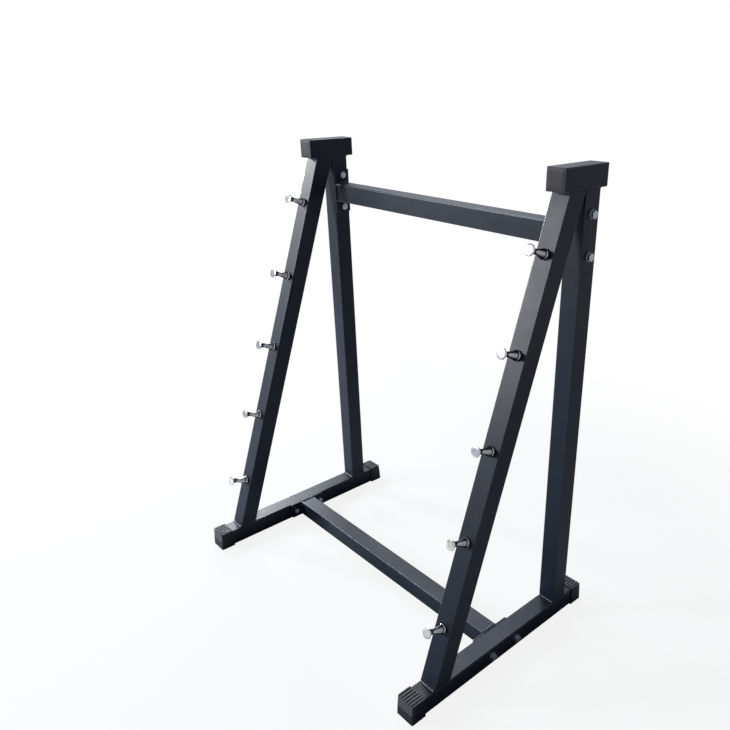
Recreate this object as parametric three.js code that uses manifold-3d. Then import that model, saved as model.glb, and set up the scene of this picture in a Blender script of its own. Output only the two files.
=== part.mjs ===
// Barbell storage rack: two welded side frames of square steel tube, joined by two bolted
// crossbars. Each leaning front post carries five spool-shaped pegs, and a barbell lies across
// a left and a right peg. Millimetres, +X to the rack's right, +Y to the back, +Z up. The origin
// is on the floor, in the middle of the rack.

import * as THREE from "three";
import { mergeVertices } from "three/addons/utils/BufferGeometryUtils.js";
import Module from "manifold-3d";

const wasm = await Module();
wasm.setup();

// Overall size
const rackWidth = 958;
const rackDepth = 640;
const rackHeight = 1198;

// Square tube of the whole frame
const tubeSize = 50;
const tubeWall = 2;
const tubeCorner = 2.5;

// Clearances
const clearance = 0.3;
const overrun = 5;

// Side frame
const toeGap = 30.5;
const crotchGap = 1;
const topFrontOverhang = 19;
const topRearOverhang = 20;
const weldLeg = 3.5;

// Crossbars and the plates on their ends
const upperBarDepth = 102;
const upperBarDrop = 3;
const lowerBarFloorGap = 1;
const plateThickness = 5;
const plateCorner = 3;
const plateMargin = 16;
const boltGap = 21;

// How many flats of each crossbar are welded to its plates, counted from the front over the top.
// The lower bar is too near the floor for a weld underneath.
const upperBarWelds = 4;
const lowerBarWelds = 3;

// Pegs, measured along the front face of a post and out from it
const pegCount = 5;
const pegBottomMargin = 153;
const pegTopMargin = 131;
const pegHeadDiameter = 26;
const pegHeadThickness = 2.5;
const pegHeadFlare = 17.5;
const pegNeckDiameter = 12.5;
const pegBaseFlare = 30.5;
const pegBaseDiameter = 25;
const pegBaseCollar = 3;
const pegEdge = 0.6;
const pegHeadFlarePower = 2.6;
const pegBaseFlarePower = 1.5;
const pegFlareSteps = 5;

// Ribbed caps on the foot tubes
const capWall = 3;
const capFloor = 1.5;
const capGrip = 35;
const capEndWall = 2.5;
const capTopSetback = 5;
const capCreaseSetback = 1.7;
const capCreaseShare = 0.48;
const capEdge = 2;
const ribCount = 7;
const ribInset = 2.5;
const grooveDepth = 1.8;
const grooveTopWidth = 4.4;
const grooveFloorWidth = 3;

// Plugs in the ends of the top tubes
const plugFlange = 2.5;
const plugEdge = 0.8;
const plugRim = 5;
const plugPanelHeight = 0.8;
const plugDepth = 14;
const plugWall = 2.2;

// Hex fasteners
const boltDiameter = 10;
const boltHole = 11;
const hexAcrossFlats = 17;
const hexChamfer = 1.2;
const headHeight = 6.4;
const nutHeight = 8;
const boltTail = 3;
const washerDiameter = 21;
const washerThickness = 2;

// Facets
const cornerSegments = 2;
const pegSegments = 16;
const washerSegments = 16;
const holeSegments = 8;
const hexSides = 6;
const bevelSegments = 1;
const quarterTurn = Math.PI / 2;

// Places that follow from the sizes
const capEnd = capEndWall + capTopSetback;
const capWidth = tubeSize + 2 * capWall;
const footTubeLength = rackDepth - 2 * capEnd;
const footTop = capFloor + tubeSize;
const topUnderside = rackHeight - tubeSize;
const frameX = (rackWidth - tubeSize) / 2;
const plateX = frameX - tubeSize / 2 - plateThickness / 2;
const crossbarLength = 2 * (plateX - plateThickness / 2);
const inset = capEnd + capGrip + toeGap;
const postFrontAtFoot = -rackDepth / 2 + inset;
const uprightRear = rackDepth / 2 - inset;
const uprightFront = uprightRear - tubeSize;
const uprightY = uprightRear - tubeSize / 2;

// The post leans back until its rear edge meets the upright under the top tube.
const postRise = topUnderside - footTop;
const postRun = uprightFront - crotchGap - postFrontAtFoot;
const postLean = Math.acos(tubeSize / Math.hypot(postRun, postRise)) - Math.atan2(postRise, postRun);
const postLevelDepth = tubeSize / Math.cos(postLean);
const postFaceLength = postRise / Math.cos(postLean);
const postFrontAtTop = postFrontAtFoot + postRise * Math.tan(postLean);
const pegPitch = (postFaceLength - pegBottomMargin - pegTopMargin) / (pegCount - 1);
const pegReach = clearance + pegBaseCollar + pegBaseFlare + pegHeadFlare + pegHeadThickness;

const topTubeFront = postFrontAtTop - topFrontOverhang;
const topTubeRear = uprightRear + topRearOverhang;
const topTubeZ = rackHeight - tubeSize / 2;
const footTubeZ = capFloor + tubeSize / 2;

const boltSpacing = tubeSize + 2 * boltGap;
const plateLength = boltSpacing + 2 * plateMargin;
const upperBarZ = topUnderside - upperBarDepth;
const upperPlateZ = upperBarZ + upperBarDrop;
const lowerBarZ = lowerBarFloorGap + tubeSize / 2;

// Materials
const blackPaint = { color: 0x24282e, roughness: 0.38, metalness: 0.25 };
const chrome = { color: 0xdfe1e4, roughness: 0.12, metalness: 1 };
const zinc = { color: 0xb8bbbe, roughness: 0.34, metalness: 1 };
const blackPlastic = { color: 0x2b2d2f, roughness: 0.55, metalness: 0 };

// Booleans

function solidOf(geometry) {
  const bare = geometry.clone();
  bare.deleteAttribute("normal");
  bare.deleteAttribute("uv");
  const merged = mergeVertices(bare);
  const vertProperties = new Float32Array(merged.attributes.position.array);
  const triVerts = new Uint32Array(merged.index.array);
  return new wasm.Manifold(new wasm.Mesh({ numProp: 3, vertProperties, triVerts }));
}

function geometryOf(solid) {
  const mesh = solid.getMesh();
  const geometry = new THREE.BufferGeometry();
  geometry.setAttribute("position", new THREE.BufferAttribute(mesh.vertProperties, 3));
  geometry.setIndex(new THREE.BufferAttribute(mesh.triVerts, 1));
  const faceted = geometry.toNonIndexed();
  faceted.computeVertexNormals();
  return faceted;
}

function join(geometries) {
  const solids = geometries.map(solidOf);
  return geometryOf(solids.reduce((all, solid) => all.add(solid)));
}

function cut(geometry, cutters) {
  const start = solidOf(geometry);
  return geometryOf(cutters.reduce((left, cutter) => left.subtract(solidOf(cutter)), start));
}

function common(first, second) {
  return geometryOf(solidOf(first).intersect(solidOf(second)));
}

// Outlines and basic forms

function roundedRectangle(path, width, height, corner) {
  const x = width / 2 - corner;
  const y = height / 2 - corner;
  path.absarc(x, y, corner, 0, quarterTurn, false);
  path.absarc(-x, y, corner, quarterTurn, 2 * quarterTurn, false);
  path.absarc(-x, -y, corner, 2 * quarterTurn, 3 * quarterTurn, false);
  path.absarc(x, -y, corner, 3 * quarterTurn, 4 * quarterTurn, false);
  path.closePath();
  return path;
}

function prism(shape, depth) {
  return new THREE.ExtrudeGeometry(shape, {
    depth,
    bevelEnabled: false,
    curveSegments: cornerSegments,
  });
}

function softPrism(shape, depth, edge) {
  const geometry = new THREE.ExtrudeGeometry(shape, {
    depth: depth - 2 * edge,
    bevelEnabled: true,
    bevelThickness: edge,
    bevelSize: edge,
    bevelOffset: -edge,
    bevelSegments,
    curveSegments: cornerSegments,
  });
  return geometry.translate(0, 0, edge);
}

function polygon(points) {
  return new THREE.Shape(points.map(([x, y]) => new THREE.Vector2(x, y)));
}

// Turns a form drawn in X and Z (as x and y) and extruded along z so that it runs forwards, to -Y.
function facingFront(geometry) {
  const turn = new THREE.Matrix4().makeBasis(
    new THREE.Vector3(1, 0, 0),
    new THREE.Vector3(0, 0, 1),
    new THREE.Vector3(0, -1, 0),
  );
  return geometry.applyMatrix4(turn);
}

// Turns a side view, drawn as (distance forwards, height), so that it is extruded along X.
function fromSideView(geometry) {
  const turn = new THREE.Matrix4().makeBasis(
    new THREE.Vector3(0, -1, 0),
    new THREE.Vector3(0, 0, 1),
    new THREE.Vector3(-1, 0, 0),
  );
  return geometry.applyMatrix4(turn);
}

// A square tube along +Z from z = 0, with its axis on the Z axis
function squareTube(length) {
  const inside = tubeSize - 2 * tubeWall;
  const section = roundedRectangle(new THREE.Shape(), tubeSize, tubeSize, tubeCorner);
  section.holes.push(roundedRectangle(new THREE.Path(), inside, inside, tubeCorner - tubeWall));
  return prism(section, length);
}

// A fillet weld across a tube: a three-cornered bead along X in the angle between a level face
// below and a wall behind it that leans back by the angle lean.
function weldBead(lean) {
  const length = tubeSize - 2 * tubeCorner;
  const wallTop = weldLeg * Math.tan(lean);
  const bead = polygon([
    [weldLeg, 0],
    [-wallTop, weldLeg],
    [-wallTop - tubeWall / 2, weldLeg],
    [-tubeWall / 2, 0],
  ]);
  return fromSideView(prism(bead, length).translate(0, 0, -length / 2));
}

function drillAlongX() {
  const drill = new THREE.CylinderGeometry(
    boltHole / 2,
    boltHole / 2,
    tubeSize + 2 * overrun,
    holeSegments,
  );
  return drill.rotateZ(quarterTurn);
}

// Fasteners, drawn along +Y with y = 0 at the seat of the head, washer or nut

function hexPrism(height, bothEnds) {
  const radius = hexAcrossFlats / 2 / Math.cos(Math.PI / hexSides);
  const outside = radius + hexChamfer;
  const chamferEdge = outside - 2 * hexChamfer;
  const hex = new THREE.CylinderGeometry(radius, radius, height, hexSides);
  hex.translate(0, height / 2, 0);
  const seat = bothEnds
    ? [new THREE.Vector2(chamferEdge, 0), new THREE.Vector2(outside, hexChamfer)]
    : [new THREE.Vector2(outside, 0)];
  const profile = [
    new THREE.Vector2(0, 0),
    ...seat,
    new THREE.Vector2(outside, height - hexChamfer),
    new THREE.Vector2(chamferEdge, height),
    new THREE.Vector2(0, height),
  ];
  return common(hex, new THREE.LatheGeometry(profile, 2 * hexSides));
}

function boltShank(length) {
  const shank = new THREE.CylinderGeometry(
    boltDiameter / 2,
    boltDiameter / 2,
    length + headHeight / 2,
    holeSegments,
  );
  return shank.translate(0, headHeight / 4 - length / 2, 0);
}

function boltGeometry() {
  const grip = washerThickness + tubeSize + plateThickness + nutHeight;
  const seats = 3 * clearance;
  return join([hexPrism(headHeight, false), boltShank(grip + seats + boltTail)]);
}

function washerGeometry() {
  const inner = boltDiameter / 2 + clearance;
  const outer = washerDiameter / 2;
  const profile = [
    new THREE.Vector2(inner, 0),
    new THREE.Vector2(outer, 0),
    new THREE.Vector2(outer, washerThickness),
    new THREE.Vector2(inner, washerThickness),
    new THREE.Vector2(inner, 0),
  ];
  return new THREE.LatheGeometry(profile, washerSegments);
}

function nutGeometry() {
  const radius = boltDiameter / 2 + clearance;
  const bore = new THREE.CylinderGeometry(radius, radius, 2 * nutHeight, holeSegments);
  bore.translate(0, nutHeight / 2, 0);
  return cut(hexPrism(nutHeight, true), [bore]);
}

// Pegs

// The concave side of the spool, from one radius at y = start to another at y = end
function flare(start, end, thinRadius, wideRadius, power, opening) {
  const points = [];
  for (let step = 1; step <= pegFlareSteps; step += 1) {
    const along = step / pegFlareSteps;
    const widening = opening ? along ** power : (1 - along) ** power;
    const radius = thinRadius + (wideRadius - thinRadius) * widening;
    points.push(new THREE.Vector2(radius, start + (end - start) * along));
  }
  return points;
}

// A turned spool with its fixing screw. +Y points out of the post and y = 0 is on its face.
function pegGeometry() {
  const baseRadius = pegBaseDiameter / 2;
  const neckRadius = pegNeckDiameter / 2;
  const headRadius = pegHeadDiameter / 2;
  const collarEnd = clearance + pegBaseCollar;
  const neck = collarEnd + pegBaseFlare;
  const headBack = neck + pegHeadFlare;
  const screwSeat = -tubeSize - clearance;
  const profile = [
    new THREE.Vector2(0, clearance),
    new THREE.Vector2(baseRadius, clearance),
    new THREE.Vector2(baseRadius, collarEnd),
    ...flare(collarEnd, neck, neckRadius, baseRadius, pegBaseFlarePower, false),
    ...flare(neck, headBack, neckRadius, headRadius, pegHeadFlarePower, true),
    new THREE.Vector2(headRadius, pegReach - pegEdge),
    new THREE.Vector2(headRadius - pegEdge, pegReach),
    new THREE.Vector2(0, pegReach),
  ];
  const spool = new THREE.LatheGeometry(profile, pegSegments);
  const shankLength = pegBaseCollar / 2 - screwSeat;
  const shank = new THREE.CylinderGeometry(
    boltDiameter / 2,
    boltDiameter / 2,
    shankLength + headHeight / 2,
    holeSegments,
  );
  shank.translate(0, pegBaseCollar / 2 - (shankLength + headHeight / 2) / 2, 0);
  const screwHead = hexPrism(headHeight, false).rotateX(2 * quarterTurn).translate(0, screwSeat, 0);
  return join([spool, shank, screwHead]);
}

// Foot caps

// A plastic sleeve over the end of a foot tube. y = 0 is the tube's end and z = 0 the floor. The
// end leans back, more so above its crease, and ribs run along the top.
function footCapGeometry() {
  const height = capFloor + tubeSize + capWall;
  const creaseZ = height * capCreaseShare;
  const sideView = polygon([
    [-capGrip, 0],
    [capEnd, 0],
    [capEnd - capCreaseSetback, creaseZ],
    [capEnd - capTopSetback, height],
    [-capGrip, height],
  ]);
  const body = softPrism(sideView, capWidth, capEdge).translate(0, 0, -capWidth / 2);
  const pocketSize = tubeSize + 2 * clearance;
  const pocketOutline = roundedRectangle(
    new THREE.Shape(),
    pocketSize,
    pocketSize,
    tubeCorner + clearance,
  );
  const pocket = facingFront(prism(pocketOutline, capGrip + overrun + clearance));
  pocket.translate(0, capGrip + overrun, footTubeZ);
  return cut(fromSideView(body), [pocket, ...ribGrooves(height)]);
}

function ribGrooves(height) {
  const pitch = (capWidth - 2 * ribInset) / (ribCount - 1);
  const grooves = [];
  for (let groove = 1; groove < ribCount; groove += 1) {
    const section = polygon([
      [-grooveFloorWidth / 2, -grooveDepth],
      [grooveFloorWidth / 2, -grooveDepth],
      [grooveTopWidth / 2, 0],
      [grooveTopWidth / 2, overrun],
      [-grooveTopWidth / 2, overrun],
      [-grooveTopWidth / 2, 0],
    ]);
    const cutter = facingFront(prism(section, capGrip + capEnd + 2 * overrun));
    const x = (groove - ribCount / 2) * pitch;
    grooves.push(cutter.translate(x, capGrip + overrun, height));
  }
  return grooves;
}

// Plugs

// A push-in plug. y = 0 is the tube's end, and the flange stands out towards -Y.
function plugGeometry() {
  const flangeOutline = roundedRectangle(new THREE.Shape(), tubeSize, tubeSize, tubeCorner);
  const flange = facingFront(softPrism(flangeOutline, plugFlange, plugEdge));
  const panelSize = tubeSize - 2 * plugRim;
  const panelOutline = roundedRectangle(new THREE.Shape(), panelSize, panelSize, tubeCorner);
  const panelDepth = plugFlange / 2 + plugPanelHeight;
  const panel = facingFront(softPrism(panelOutline, panelDepth, plugPanelHeight / 2));
  panel.translate(0, -plugFlange / 2, 0);
  const spigotSize = tubeSize - 2 * tubeWall - 2 * clearance;
  const hollowSize = spigotSize - 2 * plugWall;
  const spigotOutline = roundedRectangle(
    new THREE.Shape(),
    spigotSize,
    spigotSize,
    tubeCorner - tubeWall,
  );
  spigotOutline.holes.push(
    roundedRectangle(new THREE.Path(), hollowSize, hollowSize, tubeCorner - tubeWall),
  );
  const spigot = facingFront(prism(spigotOutline, plugDepth + plugFlange / 2));
  spigot.translate(0, plugDepth, 0);
  return join([flange, panel, spigot]);
}

// Side frame

function footTubeGeometry() {
  const tube = facingFront(squareTube(footTubeLength)).translate(0, footTubeLength / 2, 0);
  const holes = [-1, 1].map((end) => drillAlongX().translate(0, (end * boltSpacing) / 2, 0));
  return cut(tube, holes);
}

// The post is cut level at both ends. y = 0 is the middle of its foot and z = 0 its foot.
function frontPostGeometry() {
  const tube = squareTube(postRise);
  tube.applyMatrix4(new THREE.Matrix4().makeScale(1, 1 / Math.cos(postLean), 1));
  tube.applyMatrix4(new THREE.Matrix4().makeShear(0, 0, 0, 0, 0, Math.tan(postLean)));
  const bead = weldBead(postLean).translate(0, -postLevelDepth / 2, 0);
  const holes = pegPlaces().map(({ y, z }) => {
    const hole = new THREE.CylinderGeometry(
      boltHole / 2,
      boltHole / 2,
      tubeSize + 2 * overrun,
      holeSegments,
    );
    hole.rotateX(-postLean);
    const middle = tubeSize / 2;
    return hole.translate(0, y + middle * Math.cos(postLean), z - middle * Math.sin(postLean));
  });
  return cut(join([tube, bead]), holes);
}

// Where the pegs stand on the front face of the post, in the post's own frame
function pegPlaces() {
  const places = [];
  for (let peg = 0; peg < pegCount; peg += 1) {
    const along = pegBottomMargin + peg * pegPitch;
    places.push({
      y: -postLevelDepth / 2 + along * Math.sin(postLean),
      z: along * Math.cos(postLean),
    });
  }
  return places;
}

function rearUprightGeometry() {
  const front = weldBead(0).translate(0, -tubeSize / 2, 0);
  const rear = weldBead(0).rotateZ(2 * quarterTurn).translate(0, tubeSize / 2, 0);
  const holes = [-1, 1].map((end) =>
    drillAlongX().translate(0, 0, upperPlateZ - footTop + (end * boltSpacing) / 2),
  );
  return cut(join([squareTube(postRise), front, rear]), holes);
}

function topTubeGeometry() {
  const length = topTubeRear - topTubeFront;
  return facingFront(squareTube(length)).translate(0, length / 2, 0);
}

// Crossbars

// A tube with a fillet weld at both ends of each welded flat
function crossbarGeometry(weldedFlats) {
  const beads = [];
  for (let flat = 0; flat < weldedFlats; flat += 1) {
    for (const flip of [0, 2 * quarterTurn]) {
      const bead = weldBead(0).translate(0, -tubeSize / 2, 0).rotateZ(-flat * quarterTurn);
      beads.push(bead.translate(0, 0, -crossbarLength / 2).rotateX(flip));
    }
  }
  const tube = squareTube(crossbarLength).translate(0, 0, -crossbarLength / 2);
  return join([tube, ...beads]).rotateY(quarterTurn);
}

// An end plate drawn upright, its thickness along X
function endPlateGeometry() {
  const outline = roundedRectangle(new THREE.Shape(), tubeSize, plateLength, plateCorner);
  const plate = prism(outline, plateThickness).translate(0, 0, -plateThickness / 2);
  const holes = [-1, 1].map((end) => drillAlongX().translate(0, 0, (end * boltSpacing) / 2));
  return cut(plate.rotateX(quarterTurn).rotateZ(quarterTurn), holes);
}

// Assembly

function piece(name, geometry, look, x, y, z) {
  const mesh = new THREE.Mesh(geometry, new THREE.MeshStandardMaterial(look));
  mesh.name = name;
  mesh.position.set(x, y, z);
  return mesh;
}

const forms = {
  footTube: footTubeGeometry(),
  frontPost: frontPostGeometry(),
  rearUpright: rearUprightGeometry(),
  topTube: topTubeGeometry(),
  upperCrossbar: crossbarGeometry(upperBarWelds),
  lowerCrossbar: crossbarGeometry(lowerBarWelds),
  endPlate: endPlateGeometry(),
  peg: pegGeometry(),
  footCap: footCapGeometry(),
  plug: plugGeometry(),
  bolt: boltGeometry(),
  washer: washerGeometry(),
  nut: nutGeometry(),
};

function addTubes(frame, side) {
  const postY = postFrontAtFoot + postLevelDepth / 2;
  const topY = (topTubeFront + topTubeRear) / 2;
  frame.add(piece(`foot_tube_${side}`, forms.footTube, blackPaint, 0, 0, footTubeZ));
  frame.add(piece(`front_post_${side}`, forms.frontPost, blackPaint, 0, postY, footTop));
  frame.add(piece(`rear_upright_${side}`, forms.rearUpright, blackPaint, 0, uprightY, footTop));
  frame.add(piece(`top_tube_${side}`, forms.topTube, blackPaint, 0, topY, topTubeZ));
}

function addPegs(frame, side) {
  const postY = postFrontAtFoot + postLevelDepth / 2;
  pegPlaces().forEach(({ y, z }, index) => {
    const name = `peg_${side}_${index + 1}`;
    const peg = piece(name, forms.peg, chrome, 0, postY + y, footTop + z);
    peg.rotation.x = 2 * quarterTurn - postLean;
    frame.add(peg);
  });
}

function addEnds(frame, side) {
  const footEnd = footTubeLength / 2;
  const ends = [
    ["front", -footEnd, topTubeFront, 0],
    ["rear", footEnd, topTubeRear, 2 * quarterTurn],
  ];
  for (const [end, footY, topY, turn] of ends) {
    const cap = piece(`foot_cap_${side}_${end}`, forms.footCap, blackPlastic, 0, footY, 0);
    const plug = piece(`top_plug_${side}_${end}`, forms.plug, blackPlastic, 0, topY, topTubeZ);
    cap.rotation.z = turn;
    plug.rotation.z = turn;
    frame.add(cap, plug);
  }
}

// One bolt with its washer outside the tube and its nut inside, on the end plate
function addFastener(frame, label, outwards, y, z) {
  const outerFace = tubeSize / 2 + clearance;
  const headSeat = outerFace + washerThickness + clearance;
  const nutSeat = -tubeSize / 2 - plateThickness - clearance;
  const places = [
    [`bolt_${label}`, forms.bolt, headSeat, 1],
    [`washer_${label}`, forms.washer, outerFace, 1],
    [`nut_${label}`, forms.nut, nutSeat, -1],
  ];
  for (const [name, form, along, facing] of places) {
    const mesh = piece(name, form, zinc, outwards * along, y, z);
    mesh.rotation.z = -outwards * facing * quarterTurn;
    frame.add(mesh);
  }
}

function addFasteners(frame, side, outwards) {
  const half = boltSpacing / 2;
  addFastener(frame, `upper_${side}_top`, outwards, uprightY, upperPlateZ + half);
  addFastener(frame, `upper_${side}_bottom`, outwards, uprightY, upperPlateZ - half);
  addFastener(frame, `lower_${side}_front`, outwards, -half, footTubeZ);
  addFastener(frame, `lower_${side}_rear`, outwards, half, footTubeZ);
}

function sideFrame(side, outwards) {
  const frame = new THREE.Group();
  frame.position.x = outwards * frameX;
  addTubes(frame, side);
  addPegs(frame, side);
  addEnds(frame, side);
  addFasteners(frame, side, outwards);
  return frame;
}

function crossbars() {
  const bars = new THREE.Group();
  bars.add(piece("upper_crossbar", forms.upperCrossbar, blackPaint, 0, uprightY, upperBarZ));
  bars.add(piece("lower_crossbar", forms.lowerCrossbar, blackPaint, 0, 0, lowerBarZ));
  for (const [side, outwards] of [["left", -1], ["right", 1]]) {
    const x = outwards * plateX;
    const plate = forms.endPlate;
    bars.add(piece(`upper_end_plate_${side}`, plate, blackPaint, x, uprightY, upperPlateZ));
    const lower = piece(`lower_end_plate_${side}`, plate, blackPaint, x, 0, footTubeZ);
    lower.rotation.x = quarterTurn;
    bars.add(lower);
  }
  return bars;
}

const rack = new THREE.Group();
rack.add(sideFrame("left", -1), sideFrame("right", 1), crossbars());

export default rack;
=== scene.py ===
"""Looks of the barbell storage rack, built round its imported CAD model.

Every tube, peg, cap, plug and fastener of the CAD model is stood for by a finely modelled piece
in the same place, with the finish of the real one. Metres, +X right, +Y back, +Z up.
"""

import math

import bmesh
import bpy
from mathutils import Matrix, Vector


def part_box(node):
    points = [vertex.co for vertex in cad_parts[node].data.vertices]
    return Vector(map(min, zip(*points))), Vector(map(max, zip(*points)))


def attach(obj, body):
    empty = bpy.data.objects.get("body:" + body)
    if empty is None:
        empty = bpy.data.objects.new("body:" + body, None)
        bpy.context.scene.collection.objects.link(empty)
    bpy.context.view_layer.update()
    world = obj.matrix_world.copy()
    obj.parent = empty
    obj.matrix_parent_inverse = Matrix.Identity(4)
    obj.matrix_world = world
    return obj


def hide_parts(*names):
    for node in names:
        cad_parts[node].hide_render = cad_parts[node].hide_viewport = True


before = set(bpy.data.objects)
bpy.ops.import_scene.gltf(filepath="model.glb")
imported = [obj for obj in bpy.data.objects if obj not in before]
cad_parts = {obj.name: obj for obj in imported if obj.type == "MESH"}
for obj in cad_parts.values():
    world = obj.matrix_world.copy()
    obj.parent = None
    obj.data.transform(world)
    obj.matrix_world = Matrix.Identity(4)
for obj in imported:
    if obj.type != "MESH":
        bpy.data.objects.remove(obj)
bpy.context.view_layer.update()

bl_info = {
    "name": "Barbell Storage Rack",
    "version": (1, 0, 0),
    "blender": (4, 5, 0),
    "location": "View3D > Sidebar > Rack",
    "description": "Models the tubes, pegs, caps and fasteners of a barbell storage rack",
    "category": "Add Mesh",
}

MM = 0.001
# The pegs' lathe marks are mapped in steps of this length.
TURNING_STEP = 0.6 * MM
# A face looks along an axis when its normal has at least this share of it.
ALONG = 0.9
SIDES = {"left": -1, "right": 1}
QUARTER = math.radians(90)


def linear_colour(hex_code):
    """The linear red, green and blue of an sRGB hex value."""
    channels = [int(hex_code[i : i + 2], 16) / 255 for i in (1, 3, 5)]
    return [c / 12.92 if c <= 0.04045 else ((c + 0.055) / 1.055) ** 2.4 for c in channels]


def length_setting(name, description, millimetres):
    return bpy.props.FloatProperty(
        name=name,
        description=description,
        default=millimetres * MM,
        min=0.0,
        precision=5,
        subtype="DISTANCE",
        unit="LENGTH",
    )


def power_setting(name, description, watts):
    return bpy.props.FloatProperty(
        name=name, description=description, default=watts, min=0.0, unit="POWER"
    )


def colour_setting(name, description, hex_code):
    return bpy.props.FloatVectorProperty(
        name=name,
        description=description,
        default=linear_colour(hex_code),
        size=3,
        min=0.0,
        max=1.0,
        subtype="COLOR",
    )


# Settings


class RackTubeSettings(bpy.types.PropertyGroup):
    size: length_setting("Tube size", "Outside width of the square tube", 50)
    wall: length_setting("Tube wall", "Thickness of the tube's wall", 2)
    corner: length_setting("Tube corner", "Outside radius of the tube's corners", 2.5)
    weld: length_setting("Weld leg", "Leg of the fillet welds", 3.5)
    ripple: length_setting("Weld ripple", "Distance from one ripple of a weld to the next", 2.2)
    plate_corner: length_setting("Plate corner", "Corner radius of the end plates", 3)
    plate_edge: length_setting("Plate edge", "Rounding of the end plates' edges", 0.6)
    hole: length_setting("Bolt hole", "Diameter of the drilled holes", 11)
    paint: colour_setting("Paint", "Colour of the powder coat", "#0e1927")


class RackPegSettings(bpy.types.PropertyGroup):
    first: length_setting("First peg", "From a post's foot to its lowest peg", 153)
    last: length_setting("Last peg", "From the highest peg to the post's top", 131)
    count: bpy.props.IntProperty(name="Pegs", description="Pegs on each post", default=5, min=2)
    head: length_setting("Head", "Diameter of a peg's head", 26)
    head_thickness: length_setting("Head thickness", "Thickness of the head's rim", 2.5)
    head_flare: length_setting("Head flare", "Length of the widening to the head", 17.5)
    neck: length_setting("Neck", "Diameter of the neck", 12.5)
    base_flare: length_setting("Base flare", "Length of the widening to the base", 30.5)
    base: length_setting("Base", "Diameter of the base", 25)
    collar: length_setting("Collar", "Length of the straight part of the base", 3)
    steel: colour_setting("Steel", "Colour of the polished steel", "#eeebe4")


class RackCapSettings(bpy.types.PropertyGroup):
    grip: length_setting("Grip", "How far a cap reaches over its tube", 35)
    wall: length_setting("Wall", "Wall of a cap's sleeve", 3)
    floor: length_setting("Floor", "Wall of the sleeve under the tube", 1.5)
    setback: length_setting("Top setback", "How far the end leans back at the top", 5)
    crease_setback: length_setting("Crease setback", "How far it leans back at the crease", 1.7)
    crease: bpy.props.FloatProperty(
        name="Crease height",
        description="Height of the crease as a share of the cap's",
        default=0.48,
        subtype="FACTOR",
    )
    corner: length_setting("Corner", "Rounding of the upright corners", 4)
    groove: length_setting("Groove depth", "Depth of the grooves between ribs", 1.8)
    groove_floor: length_setting("Groove floor", "Width of a groove's floor", 3)
    groove_top: length_setting("Groove top", "Width of a groove at the top", 4.4)
    pitch: length_setting("Rib pitch", "Distance from rib to rib", 8.5)
    plastic: colour_setting("Plastic", "Colour of the moulded plastic", "#10151e")
    # Painted light on the rib tops and the upper half of a cap's end is drawn in this colour.
    painted_light_colour: colour_setting("Worn plastic", "Colour of the plastic where it is rubbed", "#4a4d51")


class RackFastenerSettings(bpy.types.PropertyGroup):
    shank: length_setting("Shank", "Diameter of the bolts", 10)
    thread: length_setting("Thread pitch", "Distance from thread to thread", 1.5)
    across: length_setting("Across flats", "Width of the hex heads and nuts", 17)
    chamfer: length_setting("Chamfer", "Chamfer of the hex corners", 1.2)
    head: length_setting("Head height", "Height of a bolt's head", 6.4)
    nut: length_setting("Nut height", "Height of a nut", 8)
    washer: length_setting("Washer", "Diameter of a washer", 21)
    zinc: colour_setting("Zinc", "Colour of the zinc plating", "#b9bcc2")


class RackStudioSettings(bpy.types.PropertyGroup):
    floor: colour_setting("Floor", "Colour of the studio floor", "#bcc1c9")
    front: power_setting("Front lamp", "Power of the lamp at the front, left", 215)
    side: power_setting("Side lamp", "Power of the small lamp at the left", 62)
    rear: power_setting("Rear lamp", "Power of the wide lamp above, behind", 128)
    low: power_setting("Low lamp", "Power of the low lamp at the left", 70)
    warm: colour_setting("Warm light", "Colour of the front and side lamps", "#fafbfc")
    cool: colour_setting("Cool light", "Colour of the low and rear lamps", "#f6f9fd")
    sky: colour_setting("Sky", "Colour of the light from all round", "#d6e2fb")
    mirrored: bpy.props.FloatProperty(
        name="Mirrored", description="Share of the white that metal mirrors", default=0.6, min=0.0
    )
    ambient: bpy.props.FloatProperty(
        name="Ambient", description="Strength of the world's light", default=0.06, min=0.0
    )


# Modelling helpers


def select_nothing():
    bpy.ops.object.select_all(action="DESELECT")


def select_only(*pieces):
    select_nothing()
    for piece in pieces:
        piece.select_set(True)
    bpy.context.view_layer.objects.active = pieces[0]


def settle(piece):
    """Puts the object's place, turn and scale into its mesh."""
    select_only(piece)
    bpy.ops.object.transform_apply(location=True, rotation=True, scale=True)
    return piece


def choose(kind, test):
    """Selects the vertices, edges or faces of the mesh in edit mode that pass the test."""
    bpy.ops.mesh.select_mode(type=kind)
    bpy.ops.mesh.select_all(action="DESELECT")
    mesh = bmesh.from_edit_mesh(bpy.context.edit_object.data)
    parts = {"VERT": mesh.verts, "EDGE": mesh.edges, "FACE": mesh.faces}[kind]
    chosen = [part for part in parts if test(part)]
    if not chosen:
        raise RuntimeError(f"nothing of kind {kind} passes the test on {bpy.context.object.name}")
    for part in chosen:
        part.select_set(True)
    mesh.select_flush_mode()
    bmesh.update_edit_mesh(bpy.context.edit_object.data)


def ends(edge):
    return [vertex.co for vertex in edge.verts]


def run(edge, axis):
    """How far an edge runs along the x, y or z axis."""
    first, second = (getattr(end, axis) for end in ends(edge))
    return abs(first - second)


def round_edges(test, radius, segments):
    """Rounds the edges of the mesh in edit mode that pass the test."""
    choose("EDGE", test)
    bpy.ops.mesh.bevel(offset=radius, segments=segments, affect="EDGES")


def close_mesh():
    """Turns all faces of the mesh in edit mode outwards and leaves edit mode."""
    bpy.ops.mesh.select_all(action="SELECT")
    bpy.ops.mesh.normals_make_consistent(inside=False)
    bpy.ops.object.mode_set(mode="OBJECT")


def apply_modifier(piece, kind, **settings):
    """Adds a modifier with these settings and applies it."""
    modifier = piece.modifiers.new(kind.title(), kind)
    for name, value in settings.items():
        setattr(modifier, name, value)
    select_only(piece)
    bpy.ops.object.modifier_apply(modifier=modifier.name)
    return piece


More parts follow.
